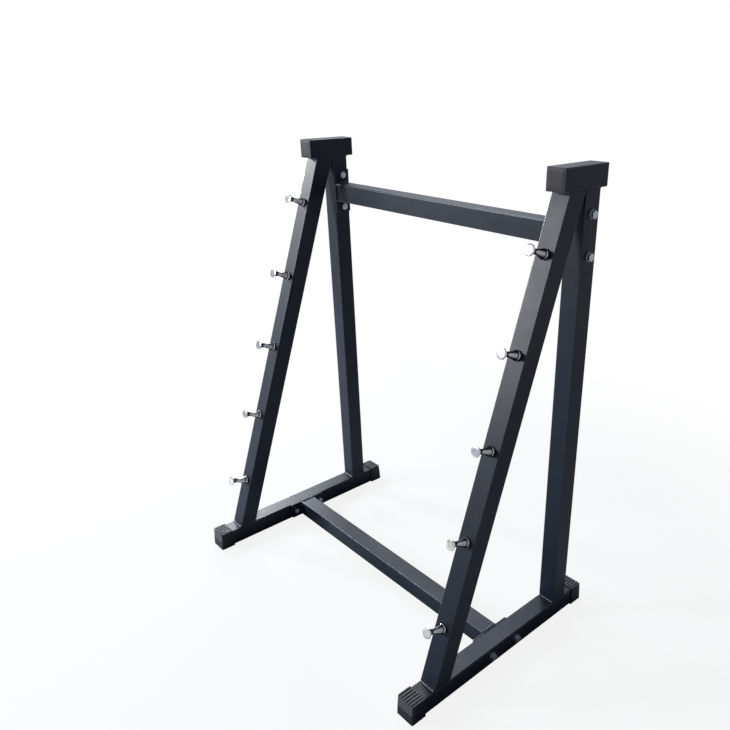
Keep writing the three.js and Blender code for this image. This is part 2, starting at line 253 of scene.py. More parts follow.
def cut_away(piece, cutter, operation="DIFFERENCE"):
    """Cuts one mesh with another, or keeps what they share, and removes the cutter."""
    apply_modifier(piece, "BOOLEAN", operation=operation, object=cutter, solver="EXACT")
    bpy.data.objects.remove(cutter, do_unlink=True)
    return piece


def drill(piece, diameter, middle, direction, length=70 * MM):
    """Drills a round hole of this length about its middle; the usual length goes through a tube."""
    select_nothing()
    bpy.ops.mesh.primitive_cylinder_add(
        vertices=32,
        radius=diameter / 2,
        depth=length,
        location=middle,
        rotation=Vector(direction).to_track_quat("Z", "Y").to_euler(),
    )
    return cut_away(piece, bpy.context.object)


def block(x, y, z):
    """A box from its lowest and highest x, y and z."""
    select_nothing()
    middle = [(low + high) / 2 for low, high in (x, y, z)]
    extent = [high - low for low, high in (x, y, z)]
    bpy.ops.mesh.primitive_cube_add(size=1, location=middle, scale=extent)
    return settle(bpy.context.object)


def turn(profile, sides):
    """A turned form about the Z axis, from (radius, height) pairs."""
    radius, height = profile[0]
    select_nothing()
    bpy.ops.mesh.primitive_circle_add(
        vertices=sides, radius=radius, fill_type="NGON", location=(0, 0, height)
    )
    turned = settle(bpy.context.object)
    bpy.ops.object.mode_set(mode="EDIT")
    bpy.ops.mesh.select_mode(type="FACE")
    bpy.ops.mesh.select_all(action="SELECT")
    for next_radius, next_height in profile[1:]:
        bpy.ops.mesh.extrude_region_move(
            TRANSFORM_OT_translate={"value": (0, 0, next_height - height)}
        )
        share = next_radius / radius
        bpy.ops.transform.resize(value=(share, share, 1), center_override=(0, 0, next_height))
        radius, height = next_radius, next_height
    close_mesh()
    return turned


def shade_curves(piece, angle):
    """Shades a piece smooth, but not across edges sharper than an angle in degrees."""
    select_only(piece)
    bpy.ops.object.shade_smooth_by_angle(angle=math.radians(angle))
    return piece


def smooth(piece, angle=32):
    """Shades curves smooth and keeps flats flat."""
    shade_curves(piece, angle)
    return apply_modifier(piece, "WEIGHTED_NORMAL", keep_sharp=True, weight=60)


def joined(piece, *others):
    """Joins other objects into the piece as one mesh."""
    select_only(piece, *others)
    bpy.ops.object.join()
    return piece


def copy_at(piece, matrix):
    """A copy with its own mesh, moved by a matrix."""
    made = piece.copy()
    made.data = piece.data.copy()
    bpy.context.collection.objects.link(made)
    made.matrix_world = matrix
    return settle(made)


def discard(*pieces):
    for piece in pieces:
        bpy.data.objects.remove(piece, do_unlink=True)


def middle_of(node):
    low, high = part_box(node)
    return (low + high) / 2


def turned_about(axis, angle):
    return Matrix.Rotation(angle, 4, axis)


def moved_to(*place):
    return Matrix.Translation(Vector(place))


# Materials

COLOUR_MIX = {"data_type": "RGBA"}
# Nearly all values of a noise texture lie between these.
NOISE_SPAN = {"From_Min": 0.3, "From_Max": 0.7}


def set_inputs(tree, node, **inputs):
    """Sets a node's inputs, by name or as i and a number. A socket, or the first one of a node,
    is linked; any other value is set.
    """
    for name, value in inputs.items():
        numbered = name[0] == "i" and name[1:].isdigit()
        socket = node.inputs[int(name[1:]) if numbered else name.replace("_", " ")]
        if isinstance(value, bpy.types.Node):
            value = value.outputs[0]
        if isinstance(value, bpy.types.NodeSocket):
            tree.links.new(value, socket)
        else:
            socket.default_value = value


def add_node(tree, kind, settings=None, **inputs):
    """Adds a node with its settings and inputs."""
    made = tree.nodes.new(kind)
    for name, value in (settings or {}).items():
        setattr(made, name, value)
    set_inputs(tree, made, **inputs)
    return made


def new_material(name):
    material = bpy.data.materials.new(name)
    material.use_nodes = True
    tree = material.node_tree
    tree.nodes.clear()
    shader = add_node(tree, "ShaderNodeBsdfPrincipled")
    output = add_node(tree, "ShaderNodeOutputMaterial", Surface=shader)
    shader.location, output.location = (0, 0), (300, 0)
    return material, tree, shader


def shade(values, factor=1.0):
    """A colour, made darker or lighter by a factor, for a node's socket."""
    return (*[min(1.0, value * factor) for value in values], 1.0)


def powder_coat(base):
    """Black powder coat: polyester powder, sprayed on steel tube and baked. It melts into a
    semi-gloss film with a fine orange peel, and its gloss is a little uneven from patch to patch.
    """
    material, tree, shader = new_material("black_powder_coat")
    place = add_node(tree, "ShaderNodeTexCoord").outputs["Object"]
    # The peel's waves are about 1.5 mm apart on the real tube, and are drawn 3 mm apart to show.
    peel = add_node(
        tree, "ShaderNodeTexNoise", Vector=place, Scale=330.0, Detail=2.0, Roughness=0.5
    )
    # Film thickness drifts over some 60 mm and takes the gloss with it.
    film = add_node(
        tree, "ShaderNodeTexNoise", Vector=place, Scale=16.0, Detail=3.0, Roughness=0.6
    )
    # Grains of powder, 0.8 mm, that did not quite melt in.
    grain = add_node(
        tree, "ShaderNodeTexNoise", Vector=place, Scale=1200.0, Detail=1.0, Roughness=0.5
    )
    tone = add_node(
        tree, "ShaderNodeMix", COLOUR_MIX, i0=film, i6=shade(base, 0.75), i7=shade(base, 1.3)
    )
    gloss = add_node(tree, "ShaderNodeMapRange", **NOISE_SPAN, Value=film, To_Min=0.41, To_Max=0.47)
    waves = add_node(
        tree, "ShaderNodeMath", {"operation": "MULTIPLY_ADD"}, i0=grain, i1=0.35, i2=peel
    )
    bump = add_node(tree, "ShaderNodeBump", Strength=0.08, Distance=0.0004, Height=waves)
    # The melt pulls thin and smooth over corners and welds, so that they catch the light.
    corner = add_node(tree, "ShaderNodeAttribute", {"attribute_name": "corner"})
    set_inputs(
        tree,
        shader,
        Base_Color=tone.outputs[2],
        Roughness=gloss,
        Normal=bump,
        IOR=1.5,
        Specular_IOR_Level=0.265,
        Coat_Weight=corner.outputs["Fac"],
        Coat_Roughness=0.33,
    )
    return material


def polished_steel(base):
    """Polished steel: a spool turned on a lathe, buffed and chrome plated. It mirrors what is
    round it, drawn out a little along the turning marks that run round it.
    """
    material, tree, shader = new_material("polished_steel")
    along = add_node(tree, "ShaderNodeUVMap", {"uv_map": "turning"})
    place = add_node(tree, "ShaderNodeTexCoord").outputs["Object"]
    # Turning marks: the real feed is about 0.1 mm, drawn 0.6 mm apart so that they show.
    marks = add_node(
        tree, "ShaderNodeTexNoise", {"noise_dimensions": "3D"}, Vector=along, Scale=1.0, Detail=2.0
    )
    # Finger marks and polish residue, about 12 mm across, dull the mirror here and there.
    smears = add_node(
        tree, "ShaderNodeTexNoise", Vector=place, Scale=80.0, Detail=4.0, Roughness=0.6
    )
    dulled = add_node(
        tree,
        "ShaderNodeMapRange",
        Value=smears,
        From_Min=0.35,
        From_Max=0.7,
        To_Min=0.10,
        To_Max=0.20,
    )
    tone = add_node(
        tree, "ShaderNodeMix", COLOUR_MIX, i0=smears, i6=shade(base, 0.93), i7=shade(base, 1.04)
    )
    # Painted reflection: the plating is drawn dark in the hollows behind the head and in front of
    # the collar, and full bright on the collar's bead and the head's face. Each pair is a place
    # along the peg in millimetres and how much light the plating gives back there.
    first, last = -13, 54
    peg_position = add_node(
        tree,
        "ShaderNodeMapRange",
        Value=add_node(tree, "ShaderNodeSeparateXYZ", Vector=along).outputs["Y"],
        From_Min=first * MM / TURNING_STEP,
        From_Max=last * MM / TURNING_STEP,
    )
    painted_reflection = add_node(tree, "ShaderNodeValToRGB", Fac=peg_position)
    stops = painted_reflection.color_ramp.elements
    painted_reflection_stops = (
        (-9.2, 0.2), (-8.4, 1.0), (-6.4, 1.0), (-5.4, 0.16), (-2, 0.16), (3, 0.6),
        (18, 0.68), (27, 0.8), (33, 0.35), (37.9, 0.22), (38.4, 1.0),
    )
    for number, (millimetres, light) in enumerate(painted_reflection_stops):
        position = (millimetres - first) / (last - first)
        stop = stops[number] if number < 2 else stops.new(position)
        stop.position, stop.color = position, (light, light, light, 1.0)
    # Painted reflection: the steel's colour is multiplied by these dark and bright bands.
    tone = add_node(
        tree,
        "ShaderNodeMix",
        {**COLOUR_MIX, "blend_type": "MULTIPLY"},
        i0=1.0,
        i6=tone.outputs[2],
        i7=painted_reflection,
    )
    bump = add_node(tree, "ShaderNodeBump", Strength=0.10, Distance=0.0002, Height=marks)
    # Painted dark reflection: the edge tint darkens the plating at a glancing angle.
    set_inputs(
        tree,
        shader,
        Base_Color=tone.outputs[2],
        Metallic=1.0,
        Roughness=dulled,
        Normal=bump,
        Specular_Tint=shade(base, 0.1),
    )
    return material


def zinc_plate(base):
    """Bright zinc plate on cold-headed steel bolts, tumbled and blue passivated: a soft metal
    shine with small blotches where the passivation took more or less.
    """
    material, tree, shader = new_material("zinc_plated_steel")
    place = add_node(tree, "ShaderNodeTexCoord").outputs["Object"]
    # Blotches of the passivation, 2 to 3 mm across.
    blotches = add_node(
        tree, "ShaderNodeTexNoise", Vector=place, Scale=420.0, Detail=3.0, Roughness=0.6
    )
    # Tumbling marks, real ones 0.2 mm, drawn at 0.7 mm.
    dents = add_node(tree, "ShaderNodeTexNoise", Vector=place, Scale=1400.0, Detail=2.0)
    tone = add_node(
        tree, "ShaderNodeMix", COLOUR_MIX, i0=blotches, i6=shade(base, 0.8), i7=shade(base, 1.12)
    )
    sheen = add_node(
        tree, "ShaderNodeMapRange", **NOISE_SPAN, Value=blotches, To_Min=0.24, To_Max=0.38
    )
    bump = add_node(tree, "ShaderNodeBump", Strength=0.2, Distance=0.0002, Height=dents)
    set_inputs(tree, shader, Base_Color=tone.outputs[2], Metallic=1.0, Roughness=sheen, Normal=bump)
    return material


def moulded_plastic(base, painted_light_colour):
    """Black polypropylene, injection moulded in a spark-eroded mould: a matt, finely pitted skin
    that greys a little where it is scuffed.
    """
    material, tree, shader = new_material("moulded_polypropylene")
    place = add_node(tree, "ShaderNodeTexCoord").outputs["Object"]
    # Spark-eroded texture: real pits are 0.3 mm, drawn at 1 mm.
    pits = add_node(
        tree, "ShaderNodeTexNoise", Vector=place, Scale=1000.0, Detail=2.0, Roughness=0.6
    )
    # Scuffs and handling dust, in patches of about 15 mm.
    scuffs = add_node(
        tree, "ShaderNodeTexNoise", Vector=place, Scale=65.0, Detail=5.0, Roughness=0.65
    )
    tone = add_node(
        tree, "ShaderNodeMix", COLOUR_MIX, i0=scuffs, i6=shade(base, 0.8), i7=shade(base, 1.35)
    )
    # Painted light: the rib tops and the upper half of a cap's end are drawn lighter grey, as light
    # falls on them.
    painted_light = add_node(tree, "ShaderNodeAttribute", {"attribute_name": "painted_light"}).outputs["Fac"]
    tone = add_node(
        tree, "ShaderNodeMix", COLOUR_MIX, i0=painted_light, i6=tone.outputs[2], i7=shade(painted_light_colour)
    )
    matt = add_node(tree, "ShaderNodeMapRange", **NOISE_SPAN, Value=scuffs, To_Min=0.48, To_Max=0.6)
    bump = add_node(tree, "ShaderNodeBump", Strength=0.12, Distance=0.0003, Height=pits)
    set_inputs(
        tree,
        shader,
        Base_Color=tone.outputs[2],
        Roughness=matt,
        Normal=bump,
        IOR=1.49,
        Specular_IOR_Level=0.3,
    )
    return material


def studio_white(tree, seen, mirrored):
    """How much of the white backdrop a ray gets: the camera's ray, or a mirror's or glass's."""
    ray = add_node(tree, "ShaderNodeLightPath")
    bounced = add_node(
        tree,
        "ShaderNodeMath",
        {"operation": "MAXIMUM"},
        i0=ray.outputs["Is Glossy Ray"],
        i1=ray.outputs["Is Transmission Ray"],
    )
    share = add_node(tree, "ShaderNodeMath", {"operation": "MULTIPLY"}, i0=bounced, i1=mirrored)
    return add_node(
        tree,
        "ShaderNodeMath",
        {"operation": "MULTIPLY_ADD"},
        i0=ray.outputs["Is Camera Ray"],
        i1=seen,
        i2=share,
    ).outputs["Value"]


def floor_paint(base, mirrored):
    """Matt pale studio floor. A part of its white is its own, so that it stays white in the
    picture and in reflections, and the rest is what the lamps give, so that shadows show.
    """
    material, tree, shader = new_material("studio_floor")
    place = add_node(tree, "ShaderNodeTexCoord").outputs["Object"]
    # Roller marks in the floor paint, about 40 mm.
    roller = add_node(tree, "ShaderNodeTexNoise", Vector=place, Scale=25.0, Detail=4.0)
    tone = add_node(
        tree, "ShaderNodeMix", COLOUR_MIX, i0=roller, i6=shade(base, 0.97), i7=shade(base, 1.02)
    )
    set_inputs(tree, shader, Base_Color=tone.outputs[2], Roughness=0.9, Specular_IOR_Level=0.0)
    # Further from the rack the floor runs out into the white backdrop, which the camera sees
    # sooner than the steel does, so that the rack keeps its shadow and its dark sides. Each row
    # is the nearest and furthest metres of that change, and the shares of white there.
    distance = add_node(tree, "ShaderNodeVectorMath", {"operation": "LENGTH"}, i0=place)
    shown_white, steel_white = (
        add_node(
            tree,
            "ShaderNodeMapRange",
            {"interpolation_type": "SMOOTHSTEP"},
            Value=distance.outputs["Value"],
            From_Min=near,
            From_Max=far,
            To_Min=least,
            To_Max=1.0,
        ).outputs["Result"]
        for near, far, least in ((0.9, 2.0, 0.87), (1.8, 3.4, 0.05))
    )
    white = add_node(
        tree, "ShaderNodeEmission", Color=(1, 1, 1, 1), Strength=studio_white(tree, 1.0, mirrored)
    )
    lit = add_node(
        tree,
        "ShaderNodeMixShader",
        i0=studio_white(tree, shown_white, steel_white),
        i1=shader,
        i2=white,
    )
    set_inputs(tree, tree.get_output_node("ALL"), Surface=lit)
    return material


# Finishes

# The material and the slot of each finish
FINISHES = {
    "painted": ("black_powder_coat", "black_paint"),
    "polished": ("polished_steel", "chrome"),
    "plated": ("zinc_plated_steel", "zinc"),
    "moulded": ("moulded_polypropylene", "black_plastic"),
}


def finish_material(name):
    """The material of that name, made when it is first asked for."""
    scene = bpy.context.scene
    makers = {
        "black_powder_coat": lambda: powder_coat(scene.rack_tubes.paint),
        "polished_steel": lambda: polished_steel(scene.rack_pegs.steel),
        "zinc_plated_steel": lambda: zinc_plate(scene.rack_fasteners.zinc),
        "moulded_polypropylene": lambda: moulded_plastic(
            scene.rack_caps.plastic, scene.rack_caps.painted_light_colour
        ),
    }
    return bpy.data.materials.get(name) or makers[name]()


def finish(piece, finish_name, node):
    """Names the piece, gives it its finish and lets it stand for a CAD node."""
    material, slot = FINISHES[finish_name]
    piece.name = f"{finish_name}_{node}"
    piece.data.name = piece.name
    piece.data.materials.clear()
    piece.data.materials.append(finish_material(material))
    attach(piece, "root")
    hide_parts(node)


def mark_faces(piece, name, measure):
    """Gives each face of a mesh a number from 0 to 1, for its material to read."""
    marks = [float(measure(face)) for face in piece.data.polygons]
    piece.data.attributes.new(name, "FLOAT", "FACE").data.foreach_set("value", marks)
    return piece


def painted(piece, node):
    """Finishes a steel piece in powder coat, with its narrow faces marked: they are what rounds
    its corners and, shorter and fully marked, its welds.
    """
    points = piece.data.vertices
    narrow, weld_face = 1.3 * MM, 6 * MM

    def rounding(face):
        corners = [points[i].co for i in face.vertices]
        longest = max((a - b).length for a, b in zip(corners, corners[1:] + corners[:1]))
        return (face.area < narrow * longest) * (0.45 if longest > weld_face else 1.0)

    mark_faces(piece, "corner", rounding)
    finish(piece, "painted", node)


# Tubes


def square_tube(settings, length):
    """A square tube along the Z axis from z = 0: a block with its ends taken out, its long edges
    rounded and a wall put inside.
    """
    half = settings.size / 2
    tube = block((-half, half), (-half, half), (0, length))
    bpy.ops.object.mode_set(mode="EDIT")
    choose("FACE", lambda face: abs(face.normal.z) > ALONG)
    bpy.ops.mesh.delete(type="ONLY_FACE")
    round_edges(lambda edge: run(edge, "z") > length / 2, settings.corner, segments=6)
    bpy.ops.object.mode_set(mode="OBJECT")
    return apply_modifier(
        tube, "SOLIDIFY", thickness=settings.wall, offset=-1.0, use_even_offset=True
    )


def level_tube(settings, node):
    """A square tube from front to back in the place of a CAD node."""
    low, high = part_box(node)
    tube = square_tube(settings, high.y - low.y)
    place = moved_to((low.x + high.x) / 2, high.y, (low.z + high.z) / 2)
    tube.matrix_world = place @ turned_about("X", QUARTER)
    return settle(tube)


def cut_level(tube, height, keep_above):
    """Cuts a slanting tube level and closes the cut wall."""
    select_only(tube)
    bpy.ops.object.mode_set(mode="EDIT")
    bpy.ops.mesh.select_all(action="SELECT")
    bpy.ops.mesh.bisect(
        plane_co=(0, 0, height),
        plane_no=(0, 0, 1),
        use_fill=False,
        clear_inner=keep_above,
        clear_outer=not keep_above,
    )
    choose("EDGE", lambda edge: edge.is_boundary)
    bpy.ops.mesh.bridge_edge_loops()
    close_mesh()


def weld_bead(settings):
    """A fillet weld along the X axis, in the corner between a floor below and a wall at +Y. Each
    ripple that the torch leaves is one lens-shaped slice of the bead.
    """
    length = settings.size - 2 * settings.corner
    radius, off_corner = settings.weld * 0.82, settings.weld * 0.16
    step = settings.ripple
    # One ripple, as radii and places along the bead. It reaches a little into the next one.
    profile = [(radius * 0.86, 0), (radius, step * 0.45), (radius * 0.9, step * 1.15)]
    bead = turn(profile, sides=14)
    bead.rotation_euler = (0, QUARTER, 0)
    count = round(length / step)
    bead.location = (-count * step / 2, -off_corner, off_corner)
    settle(bead)
    apply_modifier(
        bead,
        "ARRAY",
        count=count,
        use_relative_offset=False,
        use_constant_offset=True,
        constant_offset_displace=(step, 0, 0),
    )
    return shade_curves(bead, angle=50)


def post_lean(settings):
    """How far the posts lean back from upright, the front and height of their feet, and how far
    they rise.
    """
    low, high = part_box("front_post_left")
    front = low.y + settings.weld
    rise = high.z - low.z
    depth = high.y - front
    lean = math.acos(settings.size / math.hypot(depth, rise)) - math.atan2(rise, depth)
    return lean, front, low.z, rise


def peg_places(settings, pegs):
    """Places of the pegs on the front face of a post, as (y, z)."""
    lean, front, foot, rise = post_lean(settings)
    pitch = (rise / math.cos(lean) - pegs.first - pegs.last) / (pegs.count - 1)
    along = [pegs.first + peg * pitch for peg in range(pegs.count)]
    return [(front + up * math.sin(lean), foot + up * math.cos(lean)) for up in along]


class RACK_OT_foot_tubes(bpy.types.Operator):
    """Models the two foot tubes"""

    bl_idname = "rack.foot_tubes"
    bl_label = "Foot Tubes"

    def execute(self, context):
        tubes = context.scene.rack_tubes
        for side in SIDES:
            node = f"foot_tube_{side}"
            tube = level_tube(tubes, node)
            for end in ("front", "rear"):
                hole = middle_of(f"washer_lower_{side}_{end}")
                hole.x = middle_of(node).x
                drill(tube, tubes.hole, hole, (1, 0, 0))
            painted(smooth(tube), node)
        return {"FINISHED"}


class RACK_OT_front_posts(bpy.types.Operator):
    """Models the two leaning front posts, drilled for the pegs and welded at both ends"""

    bl_idname = "rack.front_posts"
    bl_label = "Front Posts"

    def execute(self, context):
        tubes, pegs = context.scene.rack_tubes, context.scene.rack_pegs
        lean, front, foot, rise = post_lean(tubes)
        spare = 40 * MM
        length = rise / math.cos(lean) + 2 * spare
        tube = square_tube(tubes, length)
        level = tubes.size / math.cos(lean)
        tube.matrix_world = (
            moved_to(0, front + level / 2, foot)
            @ turned_about("X", -lean)
            @ moved_to(0, 0, -spare)
        )
        settle(tube)
        cut_level(tube, foot, keep_above=True)
        cut_level(tube, foot + rise, keep_above=False)
        inward = Vector((0, math.cos(lean), -math.sin(lean)))
        for place in peg_places(tubes, pegs):
            drill(tube, tubes.hole, Vector((0, *place)) + inward * tubes.size / 2, inward)
        smooth(tube)
        bead = weld_bead(tubes)
        at_foot = copy_at(bead, moved_to(0, front, foot))
        at_top = copy_at(
            bead,
            moved_to(0, front + rise * math.tan(lean), foot + rise) @ turned_about("X", QUARTER),
        )
        joined(tube, at_foot, at_top)
        for side in SIDES:
            node = f"front_post_{side}"
            painted(copy_at(tube, moved_to(middle_of(node).x, 0, 0)), node)
        discard(bead, tube)
        return {"FINISHED"}


class RACK_OT_rear_uprights(bpy.types.Operator):
    """Models the two rear uprights, drilled for the crossbar and welded at both ends"""

    bl_idname = "rack.rear_uprights"
    bl_label = "Rear Uprights"

    def execute(self, context):
        tubes = context.scene.rack_tubes
        bead = weld_bead(tubes)
        for side in SIDES:
            node = f"rear_upright_{side}"
            low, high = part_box(node)
            x, y = middle_of(node).x, middle_of(node).y
            tube = square_tube(tubes, high.z - low.z)
            tube.location = (x, y, low.z)
            settle(tube)
            for end in ("top", "bottom"):
                hole = middle_of(f"washer_upper_{side}_{end}")
                hole.x = x
                drill(tube, tubes.hole, hole, (1, 0, 0))
            smooth(tube)
            front, rear = y - tubes.size / 2, y + tubes.size / 2
            beads = [
                copy_at(bead, moved_to(x, front, low.z)),
                copy_at(bead, moved_to(x, rear, low.z) @ turned_about("Z", 2 * QUARTER)),
                copy_at(bead, moved_to(x, rear, high.z) @ turned_about("X", 2 * QUARTER)),
            ]
            painted(joined(tube, *beads), node)
        discard(bead)
        return {"FINISHED"}


class RACK_OT_top_tubes(bpy.types.Operator):
    """Models the two top tubes"""

    bl_idname = "rack.top_tubes"
    bl_label = "Top Tubes"

    def execute(self, context):
        for side in SIDES:
            node = f"top_tube_{side}"
            painted(smooth(level_tube(context.scene.rack_tubes, node)), node)
        return {"FINISHED"}


class RACK_OT_crossbars(bpy.types.Operator):
    """Models the two crossbars, welded round their ends"""

    bl_idname = "rack.crossbars"
    bl_label = "Crossbars"

    def execute(self, context):
        tubes = context.scene.rack_tubes
        bead = weld_bead(tubes)
        # Flats are counted from the top over the front. The lower bar has no weld underneath.
        for bar, flats in (("upper", (0, 1, 2, 3)), ("lower", (0, 1, 3))):
            node = f"{bar}_crossbar"
            low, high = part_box(node)
            bottom = low.z + (tubes.weld if 2 in flats else 0)
            place = Vector((0, middle_of(node).y, bottom + tubes.size / 2))
            tube = square_tube(tubes, high.x - low.x)
            tube.matrix_world = moved_to(low.x, place.y, place.z) @ turned_about("Y", QUARTER)
            beads = [
                copy_at(
                    bead,
                    moved_to(*place)
                    @ turned_about("X", flat * QUARTER)
                    @ moved_to(end_x, 0, tubes.size / 2)
                    @ turned_about("Z", facing),
                )
                for flat in flats
                for end_x, facing in ((low.x, QUARTER), (high.x, -QUARTER))
            ]
            painted(joined(smooth(settle(tube)), *beads), node)
        discard(bead)
        return {"FINISHED"}


class RACK_OT_end_plates(bpy.types.Operator):
    """Models the four drilled plates on the crossbars' ends"""

    bl_idname = "rack.end_plates"
    bl_label = "End Plates"

    def execute(self, context):
        tubes = context.scene.rack_tubes
        for bar, ends_of_bar in (("upper", ("top", "bottom")), ("lower", ("front", "rear"))):
            for side in SIDES:
                node = f"{bar}_end_plate_{side}"
                low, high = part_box(node)
                plate = block(*zip(low, high))
                half = (high.x - low.x) / 2
                bpy.ops.object.mode_set(mode="EDIT")
                round_edges(lambda edge: run(edge, "x") > half, tubes.plate_corner, segments=5)
                choose("FACE", lambda face: abs(face.normal.x) > ALONG)
                bpy.ops.mesh.region_to_loop()
                bpy.ops.mesh.bevel(offset=tubes.plate_edge, segments=2, affect="EDGES")
                bpy.ops.object.mode_set(mode="OBJECT")
                for end in ends_of_bar:
                    hole = middle_of(f"nut_{bar}_{side}_{end}")
                    hole.x = middle_of(node).x
                    drill(plate, tubes.hole, hole, (1, 0, 0), length=20 * MM)
                painted(smooth(plate), node)
        return {"FINISHED"}


# Pegs and fasteners


def flare(start, end, thin, wide, power, opening):
    """Rings of a spool's hollow side, from one height to another, opening or narrowing."""
    rings = []
    steps = 12
    for step in range(1, steps + 1):
        along = step / steps
        widening = along**power if opening else (1 - along) ** power
        rings.append((thin + (wide - thin) * widening, start + (end - start) * along))
    return rings


def hex_blank(settings, height, both_ends=False):
    """A hexagon along the Z axis from z = 0, with its corners turned down at the top, or at both
    ends: what a hexagonal bar and a turned blank share.
    """
    radius = settings.across / 2 / math.cos(math.radians(30))
    outside, inside = radius + settings.chamfer, radius - settings.chamfer
    select_nothing()
    bpy.ops.mesh.primitive_cylinder_add(
        vertices=6,
        radius=radius,
        depth=height,
        location=(0, 0, height / 2),
        rotation=(0, 0, QUARTER),
    )
    blank = settle(bpy.context.object)
    seat = [(inside, 0), (outside, settings.chamfer)] if both_ends else [(outside, 0)]
    turned = turn([*seat, (outside, height - settings.chamfer), (inside, height)], sides=48)
    return cut_away(blank, turned, "INTERSECT")


def threaded_shank(settings, top, bottom, threaded):
    """A bolt's shank down the Z axis, with ridges for the thread on its last part."""
    pitch = settings.thread
    crest = settings.shank / 2
    root = crest - pitch * 0.5
    # The end is chamfered. A ridge is given as radii and shares of the pitch.
    rings = [(crest * 0.8, bottom), (root, bottom + pitch * 0.3)]
    height = bottom + pitch * 0.5
    ridge = ((crest, 0.44), (crest, 0.56), (root, 0.94), (root, 1.0))
    while height + pitch < bottom + threaded:
        rings += [(radius, height + pitch * share) for radius, share in ridge]
        height += pitch
    rings += [(crest, height + pitch), (crest, top)]
    return turn(rings, sides=28)


class RACK_OT_pegs(bpy.types.Operator):
    """Models the ten turned pegs with their fixing screws"""

    bl_idname = "rack.pegs"
    bl_label = "Pegs"

    def execute(self, context):
        tubes, pegs = context.scene.rack_tubes, context.scene.rack_pegs
        screws = context.scene.rack_fasteners
        gap = 0.3 * MM
        base, neck, head = pegs.base / 2, pegs.neck / 2, pegs.head / 2
        bead = gap + 2 * pegs.collar
        waist = gap + pegs.collar + pegs.base_flare
        rim = waist + pegs.head_flare
        face = rim + pegs.head_thickness
        # The base is a rounded bead, and the head has a rounded edge and a flat face. The pairs
        # are how far in from the rim and how far from the post, or from the face.
        base_rings = ((1.0, 0), (0.3, 0.7), (0, 2.0), (0, 3.4), (0.4, 4.8))
        edge_rings = ((0, 0.6), (0.2, 0.2), (0.6, 0))
        bead_top = base - 1.3 * MM
        base_curve, head_curve = 1.4, 2.6
        profile = [
            *((base - inward * MM, gap + height * MM) for inward, height in base_rings),
            (bead_top, bead),
            *flare(bead, waist, neck, bead_top, base_curve, opening=False),
            *flare(waist, rim, neck, head, head_curve, opening=True),
            *((head - inward * MM, face - depth * MM) for inward, depth in edge_rings),
            (head * 0.55, face),
            (head * 0.2, face),
        ]
        spool = shade_curves(turn(profile, sides=48), angle=28)
        back = -tubes.size - gap
        radius = screws.shank / 2
        shank = turn([(radius, back - 1 * MM), (radius, gap + 1 * MM)], sides=24)
        screw_head = hex_blank(screws, screws.head)
        screw_head.matrix_world = moved_to(0, 0, back) @ turned_about("X", 2 * QUARTER)
        settle(screw_head)
        joined(spool, shank, smooth(screw_head))
        mark_turning(spool)
        outward = turned_about("X", QUARTER - post_lean(tubes)[0])
        for side in SIDES:
            x = middle_of(f"front_post_{side}").x
            for number, place in enumerate(peg_places(tubes, pegs), 1):
                peg = copy_at(spool, moved_to(x, *place) @ outward)
                finish(peg, "polished", f"peg_{side}_{number}")
        discard(spool)
        return {"FINISHED"}


def mark_turning(piece):
    """Gives a turned piece about the Z axis a UV map for the lathe's marks, in turns round it and
    in steps along it and in from its rim.
    """
    layer = piece.data.uv_layers.new(name="turning")
    for loop in piece.data.loops:
        x, y, z = piece.data.vertices[loop.vertex_index].co
        around = math.atan2(y, x) / (2 * math.pi)
        layer.data[loop.index].uv = (around, (z - math.hypot(x, y)) / TURNING_STEP)


class RACK_OT_fasteners(bpy.types.Operator):
    """Models the eight bolts with their washers and nuts"""

    bl_idname = "rack.fasteners"
    bl_label = "Bolts, Washers and Nuts"

    def execute(self, context):
        settings = context.scene.rack_fasteners
        low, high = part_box("bolt_upper_left_top")
        length = high.x - low.x - settings.head
        bolt = smooth(hex_blank(settings, settings.head))
        threaded = 16 * MM
        shank = threaded_shank(settings, settings.head / 2, -length, threaded)
        joined(bolt, shade_curves(shank, angle=25))
        bore = settings.shank + 0.6 * MM
        nut = hex_blank(settings, settings.nut, both_ends=True)
        smooth(drill(nut, bore, (0, 0, settings.nut / 2), (0, 0, 1), length=20 * MM))
        half, thickness, edge = settings.washer / 2, 2 * MM, 0.3 * MM
        washer = turn(
            [(half - edge, 0), (half, edge), (half, thickness - edge), (half - edge, thickness)],
            sides=48,
        )
        smooth(drill(washer, bore, (0, 0, thickness / 2), (0, 0, 1), length=10 * MM))
        for side, outwards in SIDES.items():
            for place in (
                f"upper_{side}_top",
                f"upper_{side}_bottom",
                f"lower_{side}_front",
                f"lower_{side}_rear",
            ):
                for form, kind, facing in (
                    (bolt, "bolt", outwards), (washer, "washer", outwards), (nut, "nut", -outwards)
                ):
                    node = f"{kind}_{place}"
                    low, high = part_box(node)
                    # The form's z = 0 comes to its inner end, and a bolt's to under its head.
                    seat = middle_of(node)
                    seat.x = low.x if facing > 0 else high.x
                    if kind == "bolt":
                        seat.x = (high.x if facing > 0 else low.x) - facing * settings.head
                    piece = copy_at(form, moved_to(*seat) @ turned_about("Y", facing * QUARTER))
                    finish(piece, "plated", node)
        discard(bolt, nut, washer)
        return {"FINISHED"}


# Plastic


